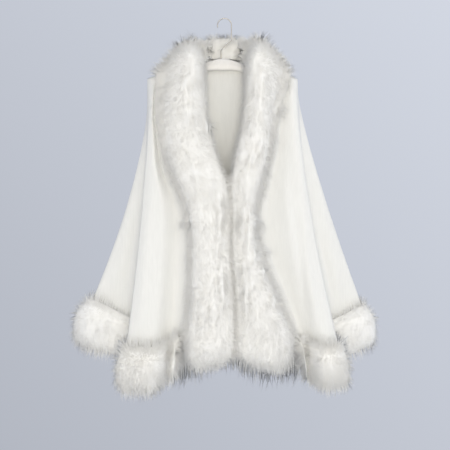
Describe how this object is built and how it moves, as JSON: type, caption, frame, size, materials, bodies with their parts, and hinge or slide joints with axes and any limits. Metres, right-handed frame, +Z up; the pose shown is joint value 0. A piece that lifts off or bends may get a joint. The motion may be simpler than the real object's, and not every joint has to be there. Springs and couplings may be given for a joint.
{
  "type": "fur-trimmed knit poncho on a clothes hanger",
  "caption": "Open-front knit cape with long-pile fur collar, front bands and hem, draped in soft folds on a shaped hanger with a wire hook.",
  "frame": {"origin": "inner top of the hanger's hook, where it hangs", "axes": "+Z up along the hang, -Y out of the garment's front, +X to the wearer's left"},
  "size_m": [0.8706, 0.2114, 1.0373],
  "materials": {
    "knit": "fine soft knit, creamy white",
    "fur": "long fluffy pile, creamy white",
    "hanger": "smooth off-white",
    "hook_wire": "bent bright wire"
  },
  "bodies": {
    "root": {"back_panel": "knit", "front_panel_right": "knit", "front_panel_left": "knit", "collar_fur": "fur", "front_band_right": "fur", "front_band_left": "fur", "hem_fur_back": "fur", "hem_fur_front_right": "fur", "hem_fur_front_left": "fur", "hanger_body": "hanger", "hanger_hook": "hook_wire"}
  },
  "joints": []
}
